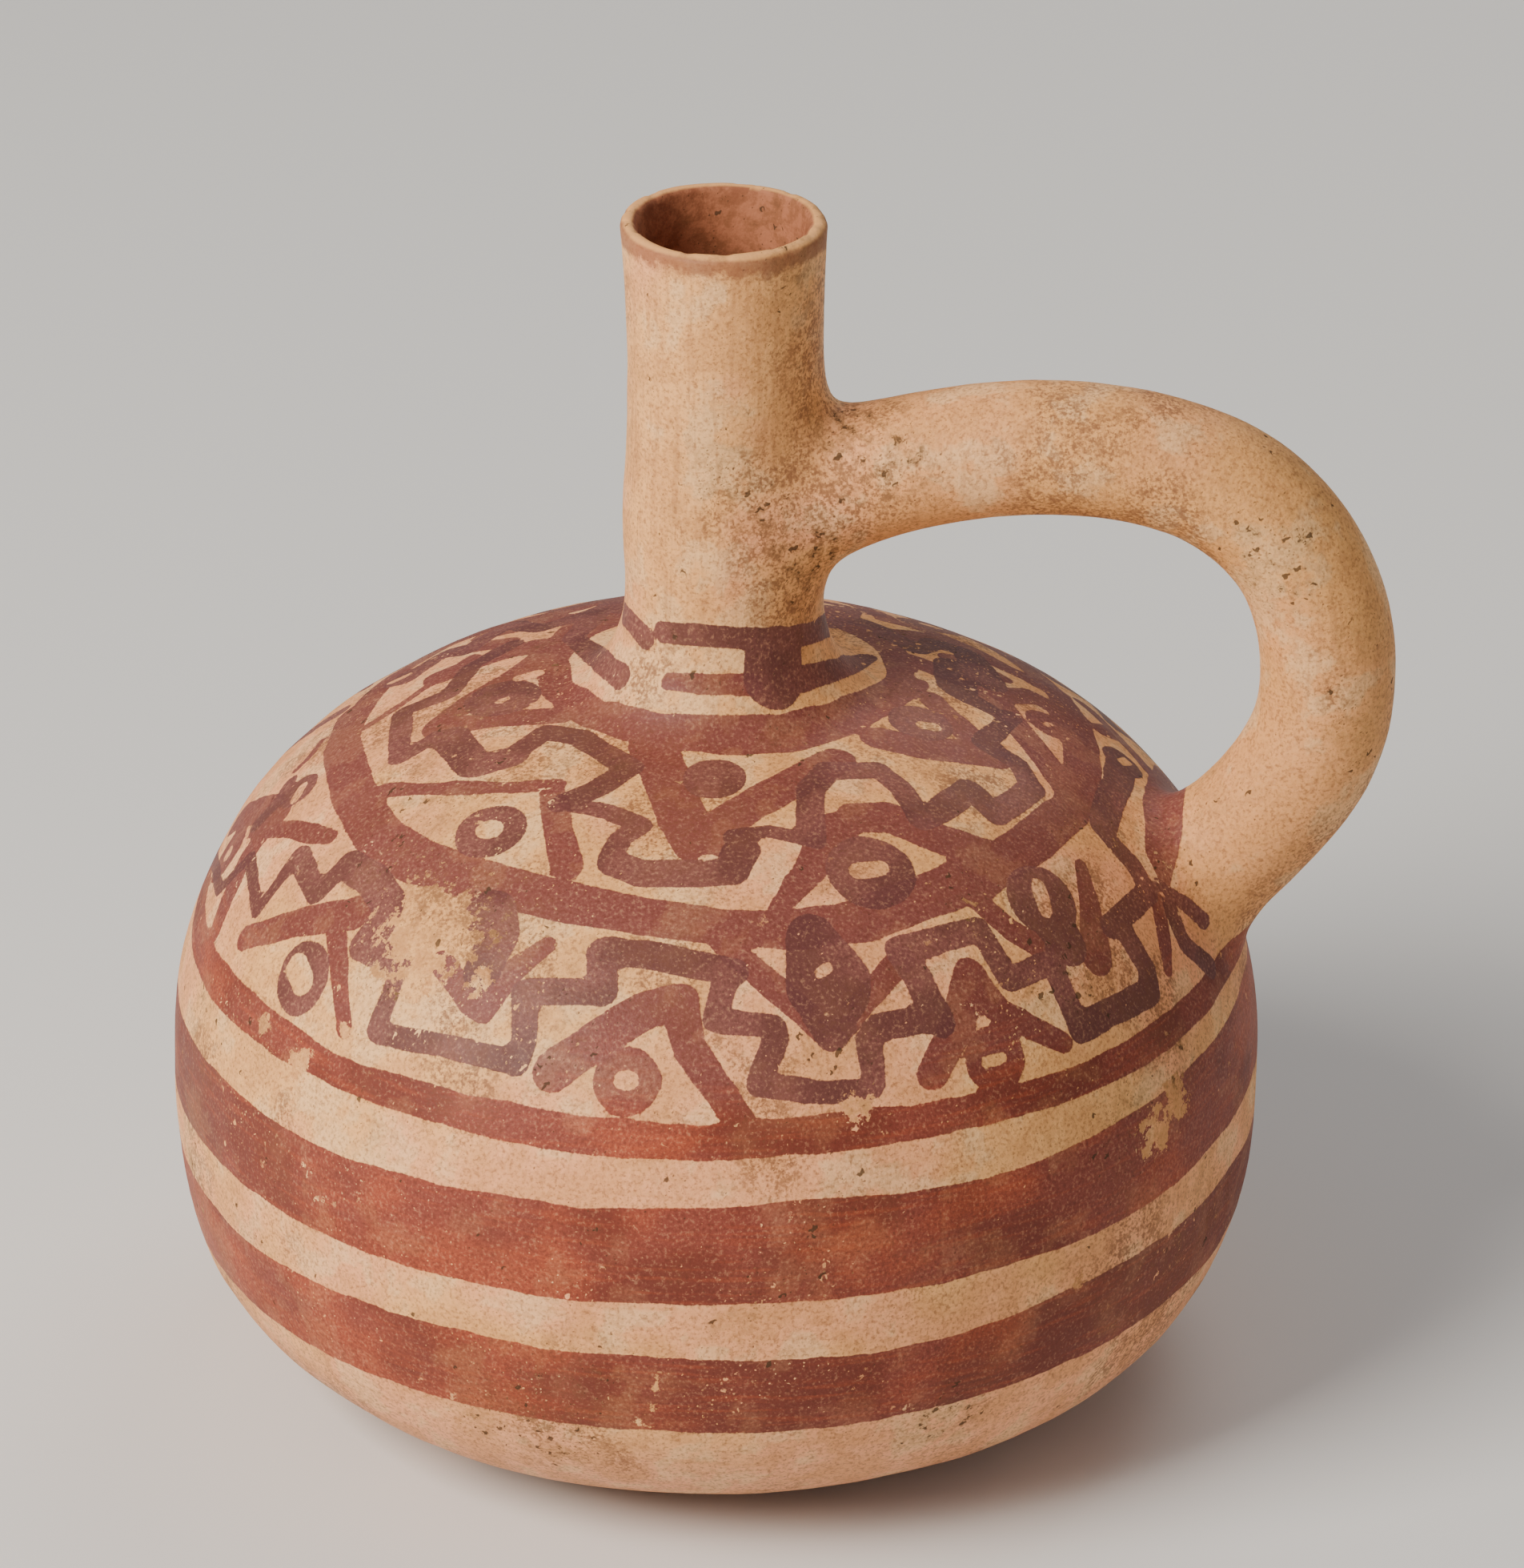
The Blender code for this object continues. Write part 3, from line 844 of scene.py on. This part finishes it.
def painted_strokes(tree):
    """Samples of every stroke by colour: those that the photograph shows, and their copies."""
    samples = {RED: ring_back(INNER_RING) + ring_back(OUTER_RING), PURPLE: [], BARE: []}
    for colour, made in drawn(tree, COLLAR_MARKS + RING_STROKES + FOOT_STROKES):
        samples[colour] += made
    friezes = (
        (INNER_FRIEZE, INNER_EYES, INNER_PUPILS, INNER_RING, OUTER_RING),
        (OUTER_FRIEZE, OUTER_EYES, OUTER_PUPILS, OUTER_RING, FRIEZE_EDGE),
    )
    for strokes, eyes, pupils, near_ring, far_ring in friezes:
        for colour, made in drawn(tree, strokes, eyes, pupils):
            samples[colour] += made + copied_behind(made, near_ring, far_ring)
    for colour, made in drawn(tree, CHEVRON, (CHEVRON_EYE,), (CHEVRON_PUPIL,)):
        samples[colour] += turned(made, CHEVRON_TURN, OUTER_RING, FRIEZE_EDGE)
    return samples


def paint(obj):
    """Keeps on each vertex how far it lies inside red paint, purple paint, rubbed places and soil, which is
    partly painted shade.
    """
    mesh = obj.data
    points = points_of(mesh)
    corners = [tuple(face.vertices) for face in mesh.polygons]
    tree = BVHTree.FromPolygons([Vector(point) for point in points], corners)
    samples = painted_strokes(tree)
    to_handle, _ = handle_distance(points)
    painted = (points[:, 2] > PAINT_FLOOR) & (points[:, 2] < PAINT_ROOF)
    slip = np.flatnonzero(painted)
    pale = cover(points[slip], np.array(samples[BARE]))
    fields = {RED: band_cover(points), PURPLE: np.full(len(points), -1.0)}
    for colour, found in fields.items():
        depth = np.minimum(cover(points[slip], np.array(samples[colour])), -pale)
        found[slip] = np.maximum(found[slip], depth)
        found = np.minimum(found, to_handle - 0.2 * MM)
        sway = smooth_noise(points, EDGE_SWAY_SIZE, EDGE_SEEDS[colour], octaves=3)
        store(mesh, colour, found / MM + EDGE_SWAY * (sway - sway.mean()))
    for name, places in (("rubbed", RUBBED), ("soiled_and_shaded", SOILED_AND_SHADED)):
        spots = np.array([row for radius, middle in places
                          for row in stroke_samples(tree, (middle,), 2 * radius, 2 * radius)])
        depth = np.full(len(points), -1.0)
        for x, y, z, radius in spots:
            gap = np.linalg.norm(points - (x, y, z), axis=1)
            depth = np.maximum(depth, 1 - gap / radius)
        if name == "soiled_and_shaded":
            depth = np.maximum((depth + 0.7).clip(0, 1), 0.7 * clouds(points, 14 * MM, 81, 0.62, 0.98))
        store(mesh, name, depth)
    for name, size, seed, low, high, upright in CLOUDS:
        store(mesh, name, clouds(points, size, seed, low, high, upright))
    spout_radius = np.hypot(points[:, 0] - SPOUT_OFFSET, points[:, 1])
    in_neck = (spout_radius < MOUTH_RADIUS + 0.9 * MM) & (points[:, 2] > 108 * MM)
    to_body, _ = body_distance(points)
    hidden = (to_body < -1.5 * MM) & (to_handle < 0) | (to_body < -3 * MM)
    store(mesh, "inside", (in_neck | hidden).astype(float))
    beyond_spout = ((points[:, 0] / MM - 18) / 8).clip(0, 1)
    store(mesh, "handle", beyond_spout * (1.2 - to_handle / MM / 5).clip(0, 1))


class Shading:
    """Short ways to add nodes to one material. A value is a number, a colour or another node's socket."""

    def __init__(self, name):
        self.material = bpy.data.materials.new(name)
        self.material.use_nodes = True
        self.tree = self.material.node_tree
        self.shader = self.tree.nodes["Principled BSDF"]
        self.place = self.tree.nodes.new("ShaderNodeTexCoord").outputs["Object"]

    def plug(self, value, socket):
        if isinstance(value, bpy.types.NodeSocket):
            self.tree.links.new(value, socket)
        else:
            socket.default_value = value

    def field(self, name):
        """A value that the mesh keeps on its vertices."""
        node = self.tree.nodes.new("ShaderNodeAttribute")
        node.attribute_name = name
        return node.outputs["Fac"]

    def sum(self, operation, *values):
        node = self.tree.nodes.new("ShaderNodeMath")
        node.operation = operation
        for value, socket in zip(values, node.inputs):
            self.plug(value, socket)
        return node.outputs[0]

    def times(self, *values):
        result = values[0]
        for value in values[1:]:
            result = self.sum("MULTIPLY", result, value)
        return result

    def most(self, *values):
        result = values[0]
        for value in values[1:]:
            result = self.sum("MAXIMUM", result, value)
        return result

    def add(self, *values):
        result = values[0]
        for value in values[1:]:
            result = self.sum("ADD", result, value)
        return result

    def fade(self, value, low, high, low_result=0.0, high_result=1.0):
        """Runs smoothly from one result to the other while the value goes from low to high."""
        node = self.tree.nodes.new("ShaderNodeMapRange")
        node.interpolation_type = "SMOOTHSTEP"
        for item, socket in zip((value, low, high, low_result, high_result), node.inputs):
            self.plug(item, socket)
        return node.outputs["Result"]

    def blend(self, share, first, second):
        node = self.tree.nodes.new("ShaderNodeMix")
        node.data_type = "RGBA"
        self.plug(share, node.inputs["Factor"])
        self.plug(first, node.inputs["A"])
        self.plug(second, node.inputs["B"])
        return node.outputs["Result"]

    def stretch(self, across, upright, shift):
        """Coordinates for a texture with features of these sizes, in metres, across and upright."""
        node = self.tree.nodes.new("ShaderNodeMapping")
        node.inputs["Scale"].default_value = (1 / across, 1 / across, 1 / upright)
        node.inputs["Location"].default_value = (shift, shift * 0.7, shift * 1.3)
        self.tree.links.new(self.place, node.inputs["Vector"])
        return node.outputs["Vector"]

    def noise(self, across, upright, shift, detail, rough=0.6):
        """Cloudy values about 0.5."""
        node = self.tree.nodes.new("ShaderNodeTexNoise")
        place = self.stretch(across, upright, shift)
        for name, value in (("Scale", 1.0), ("Detail", detail), ("Roughness", rough), ("Vector", place)):
            self.plug(value, node.inputs[name])
        return node.outputs["Fac"]

    def grains(self, size, shift, ragged):
        """Scattered ragged grains: distance from the nearest one, and two random values for each."""
        where = self.stretch(size, size, shift)
        rough = self.tree.nodes.new("ShaderNodeTexNoise")
        rough.inputs["Scale"].default_value = 2.4
        rough.inputs["Detail"].default_value = 0.0
        self.plug(where, rough.inputs["Vector"])
        bend = self.tree.nodes.new("ShaderNodeVectorMath")
        bend.operation = "MULTIPLY_ADD"
        self.plug(rough.outputs["Fac"], bend.inputs[0])
        bend.inputs[1].default_value = (ragged, ragged, ragged)
        self.plug(where, bend.inputs[2])
        cells = self.tree.nodes.new("ShaderNodeTexVoronoi")
        cells.inputs["Scale"].default_value = 1.0
        self.plug(bend.outputs["Vector"], cells.inputs["Vector"])
        split = self.tree.nodes.new("ShaderNodeSeparateColor")
        self.plug(cells.outputs["Color"], split.inputs["Color"])
        return cells.outputs["Distance"], split.outputs["Red"], split.outputs["Green"]

    def dots(self, grains, chance, share, radius):
        """Mask of those grains whose chance is under the share, bigger where more are kept."""
        kept = self.sum("LESS_THAN", chance, share)
        reach = self.sum("MULTIPLY_ADD", share, radius, 0.6 * radius)
        return self.times(self.fade(self.sum("SUBTRACT", reach, grains), 0.0, 0.08), kept)


def clay_material():
    clay = Shading("slip_painted_clay")
    split = clay.tree.nodes.new("ShaderNodeSeparateXYZ")
    clay.plug(clay.place, split.inputs[0])
    height = split.outputs["Z"]

    # Textures that many layers share
    fine = clay.noise(0.55 * MM, 0.55 * MM, 3.0, 3.0)
    cloudy = clay.noise(2.6 * MM, 2.6 * MM, 5.0, 4.0, 0.7)
    brushed = clay.noise(13 * MM, 0.9 * MM, 7.0, 1.0)
    drawn_up = clay.noise(1.1 * MM, 20 * MM, 9.0, 2.0)
    small, small_pick, small_other = clay.grains(0.72 * MM, 11.0, 0.5)
    large, large_pick, large_other = clay.grains(1.9 * MM, 13.0, 0.9)

    # Where paint lies, and where it has flaked or been rubbed off
    fray = clay.sum("MULTIPLY_ADD", fine, 0.30, -0.15)
    fray = clay.add(fray, clay.sum("MULTIPLY_ADD", cloudy, 0.5, -0.25))
    red = clay.fade(clay.add(clay.field(RED), fray), -0.05, 0.15)
    purple = clay.fade(clay.add(clay.field(PURPLE), fray), -0.05, 0.15)
    ragged = clay.sum("MULTIPLY_ADD", cloudy, 4.2, -2.1)
    rubbed = clay.fade(clay.add(clay.field("rubbed"), ragged), 0.10, 0.26)
    wear = clay.most(clay.field("wear"), clay.fade(clay.field("rubbed"), -0.9, 0.1))
    flecks = clay.dots(small, small_pick, clay.sum("MULTIPLY_ADD", wear, 0.24, 0.05), 0.30)
    chips = clay.dots(large, large_pick, clay.sum("MULTIPLY", wear, 0.15), 0.38)
    scuffs = clay.times(clay.fade(cloudy, 0.63, 0.67), clay.field("scuff"))
    whole = clay.sum("SUBTRACT", 1.0, clay.most(flecks, chips, scuffs, rubbed))
    red = clay.times(red, whole)
    purple = clay.times(purple, whole)

    # Cream slip
    colour = clay.blend(clay.field("tint"), SLIP_YELLOW, SLIP_PINK)
    colour = clay.blend(clay.fade(height, 34 * MM, 12 * MM), colour, SLIP_LOW)
    mottled = clay.fade(clay.add(clay.field("mottle"), cloudy), 1.05, 1.45)
    colour = clay.blend(clay.times(mottled, 0.36), colour, SLIP_OCHRE)
    colour = clay.blend(clay.times(clay.field("handle"), 0.6), colour, HANDLE_TAN)
    pale = clay.fade(clay.sum("SUBTRACT", clay.field("mottle"), cloudy), -0.1, -0.5)
    colour = clay.blend(clay.times(pale, 0.5), colour, SLIP_PALE)
    below_frieze = clay.fade(height, 92 * MM, 78 * MM, 0.15, 1.0)
    drag_marks = clay.times(clay.fade(brushed, 0.48, 0.72), below_frieze)
    colour = clay.blend(clay.times(drag_marks, 0.25), colour, SLIP_OCHRE)
    on_spout = clay.fade(height, 112 * MM, 122 * MM)
    colour = clay.blend(clay.times(clay.fade(drawn_up, 0.48, 0.72), on_spout, 0.35), colour, SLIP_SHADE)
    colour = clay.blend(clay.times(clay.fade(fine, 0.45, 0.68), 0.36), colour, SLIP_SHADE)
    speckled = clay.times(clay.fade(small_other, 0.55, 0.95), 0.30)
    colour = clay.blend(speckled, colour, SLIP_SHADE)
    colour = clay.blend(clay.times(rubbed, clay.fade(cloudy, 0.40, 0.62)), colour, WORN_CLAY)

    # Red paint
    red_paint = clay.blend(clay.field("red_tint"), RED_DEEP, RED_WARM)
    thin = clay.times(clay.field("thin"), clay.fade(height, 84 * MM, 74 * MM))
    red_paint = clay.blend(clay.times(thin, 0.36), red_paint, RED_ORANGE)
    red_paint = clay.blend(clay.fade(height, 78 * MM, 84 * MM, 0.0, 0.85), red_paint, RED_ROSE)
    red_paint = clay.blend(clay.times(clay.field("plum"), 0.45), red_paint, RED_PLUM)
    red_paint = clay.blend(clay.times(drag_marks, 0.24), red_paint, RED_ORANGE)
    red_paint = clay.blend(clay.times(clay.fade(fine, 0.42, 0.66), 0.40), red_paint, RED_DEEP)
    full = clay.fade(clay.add(clay.field("cover"), cloudy), 0.45, 0.9, 0.90, 1.0)
    colour = clay.blend(clay.times(red, full), colour, red_paint)

    # Purple-brown paint, a little see-through over the red
    purple_paint = clay.blend(clay.field("purple_tint"), PURPLE_DEEP, PURPLE_PALE)
    purple_paint = clay.blend(clay.times(clay.fade(fine, 0.42, 0.68), 0.45), purple_paint, PURPLE_DEEP)
    colour = clay.blend(clay.times(purple, 0.97), colour, purple_paint)

    # Grain of the clay, over slip and paint alike
    colour = clay.blend(clay.fade(fine, 0.50, 0.72, 0.0, 0.34), colour, GRAIN_DARK)
    colour = clay.blend(clay.fade(fine, 0.48, 0.28, 0.0, 0.20), colour, GRAIN_LIGHT)

    # Rim, inside, smudges and soil; the soil is partly painted shade on the spout's right side and in its
    # crease with the handle
    rim_height = clay.add(height, clay.sum("MULTIPLY_ADD", cloudy, 6 * MM, -3 * MM))
    rim = clay.fade(rim_height, SPOUT_TOP - 4.6 * MM, SPOUT_TOP - 2.6 * MM)
    colour = clay.blend(clay.times(rim, 0.8), colour, RIM_BROWN)
    lip_edge = clay.fade(height, SPOUT_TOP - 1.2 * MM, SPOUT_TOP - 0.6 * MM)
    colour = clay.blend(clay.times(lip_edge, 0.75), colour, SLIP_YELLOW)
    inside = clay.field("inside")
    bare = clay.blend(clay.fade(cloudy, 0.4, 0.6), INSIDE_CLAY, INSIDE_DARK)
    colour = clay.blend(inside, colour, bare)
    on_slip = clay.fade(clay.most(red, purple), 0.0, 1.0, 1.0, 0.3)
    smudged = clay.times(clay.field("smudge"), on_slip, clay.fade(clay.add(cloudy, fine), 0.86, 1.16))
    colour = clay.blend(clay.times(smudged, 0.75), colour, SMUDGE)
    # Soil layers: dirt, and painted shade where their spots darken the spout's right side
    soil_and_shade_zone = clay.field("soiled_and_shaded")
    stained_and_shaded = clay.times(soil_and_shade_zone, on_slip, clay.fade(cloudy, 0.4, 0.6), 0.28)
    colour = clay.blend(stained_and_shaded, colour, SOIL_AND_SHADE_TINT)
    dust = clay.dots(small, small_other, clay.sum("MULTIPLY_ADD", soil_and_shade_zone, 0.26, 0.09), 0.28)
    spots = clay.dots(large, large_other, clay.sum("MULTIPLY_ADD", soil_and_shade_zone, 0.20, 0.005), 0.40)
    crust_and_shade = clay.times(clay.fade(cloudy, 0.58, 0.66), clay.fade(soil_and_shade_zone, 0.55, 0.95))
    soil_and_shade = clay.most(clay.times(dust, 0.8), spots, crust_and_shade)
    colour = clay.blend(clay.times(soil_and_shade, 0.85), colour, SOIL_AND_SHADE)
    clay.plug(colour, clay.shader.inputs["Base Color"])

    # Gloss: paint is a little smoother than slip, and worn or dirty clay is dull
    rough = clay.add(clay.sum("MULTIPLY_ADD", cloudy, 0.30, 0.42), clay.times(clay.field("tint"), 0.06))
    rough = clay.sum("SUBTRACT", rough, clay.times(clay.most(red, purple), 0.07))
    rough = clay.add(rough, clay.times(clay.most(soil_and_shade, inside, rubbed), 0.2))
    clay.plug(clay.sum("MINIMUM", rough, 0.95), clay.shader.inputs["Roughness"])
    clay.shader.inputs["Specular IOR Level"].default_value = 0.2

    # Relief too fine for the mesh
    coat = clay.fade(clay.most(clay.field(RED), clay.field(PURPLE)), -0.1, 0.2)
    relief = clay.times(clay.noise(0.6 * MM, 0.6 * MM, 4.0, 1.0), 0.07 * MM)
    relief = clay.add(relief, clay.times(coat, 0.035 * MM))
    bump = clay.tree.nodes.new("ShaderNodeBump")
    bump.inputs["Strength"].default_value = 1.0
    bump.inputs["Distance"].default_value = 1.0
    clay.plug(relief, bump.inputs["Height"])
    clay.plug(bump.outputs["Normal"], clay.shader.inputs["Normal"])
    return clay.material


def aim(obj, place, way):
    """Puts a camera or lamp in its place, looking along a direction."""
    bpy.context.scene.collection.objects.link(obj)
    obj.location = place
    obj.rotation_mode = "QUATERNION"
    obj.rotation_quaternion = way.to_track_quat("-Z", "Y")


def camera():
    data = bpy.data.cameras.new("camera")
    data.sensor_width = SENSOR_WIDTH
    data.lens = VIEW_PIXELS / PHOTO_HEIGHT * SENSOR_WIDTH
    data.clip_start = 0.05
    data.clip_end = 20
    made = bpy.data.objects.new("camera", data)
    place, _, back = camera_place()
    aim(made, place, -back)
    bpy.context.scene.camera = made


def area_light(name, place, target, size, power, colour):
    data = bpy.data.lights.new(name, "AREA")
    data.size = size
    data.energy = power
    data.color = colour
    data.cycles.max_bounces = LIGHT_BOUNCES
    made = bpy.data.objects.new(name, data)
    aim(made, place, Vector(target) - Vector(place))


def studio():
    floor_mesh = bpy.data.meshes.new("floor")
    corners = [(FLOOR_HALF * x, FLOOR_HALF * y, 0) for x, y in ((-1, -1), (1, -1), (1, 1), (-1, 1))]
    floor_mesh.from_pydata(corners, [], [(0, 1, 2, 3)])
    floor = bpy.data.objects.new("floor", floor_mesh)
    bpy.context.scene.collection.objects.link(floor)
    paper = bpy.data.materials.new("pale_paper")
    paper.use_nodes = True
    shader = paper.node_tree.nodes["Principled BSDF"]
    shader.inputs["Base Color"].default_value = (0.80, 0.79, 0.77, 1)
    shader.inputs["Roughness"].default_value = 1.0
    shader.inputs["Specular IOR Level"].default_value = 0.0
    floor_mesh.materials.append(paper)
    middle = (0.0, 0.0, 0.09)
    area_light("key", (-0.85, -0.75, 0.95), middle, 0.75, 31, (1.0, 0.94, 0.86))
    area_light("fill", (1.1, -0.7, 0.5), middle, 1.2, 0.9, (0.95, 0.97, 1.0))
    area_light("back", (0.35, 0.8, 0.95), middle, 0.7, 4, (1.0, 0.98, 0.95))
    world = bpy.data.worlds.new("soft")
    world.use_nodes = True
    world.node_tree.nodes["Background"].inputs["Color"].default_value = (0.97, 0.97, 1.0, 1)
    world.node_tree.nodes["Background"].inputs["Strength"].default_value = 0.22
    bpy.context.scene.world = world


vessel = make_vessel()
for face in vessel.data.polygons:
    face.use_smooth = True
paint(vessel)
vessel.data.materials.clear()
vessel.data.materials.append(clay_material())
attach(vessel, "root")
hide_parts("vessel")
studio()
camera()

print("triangles", sum(len(face.vertices) - 2 for face in vessel.data.polygons))
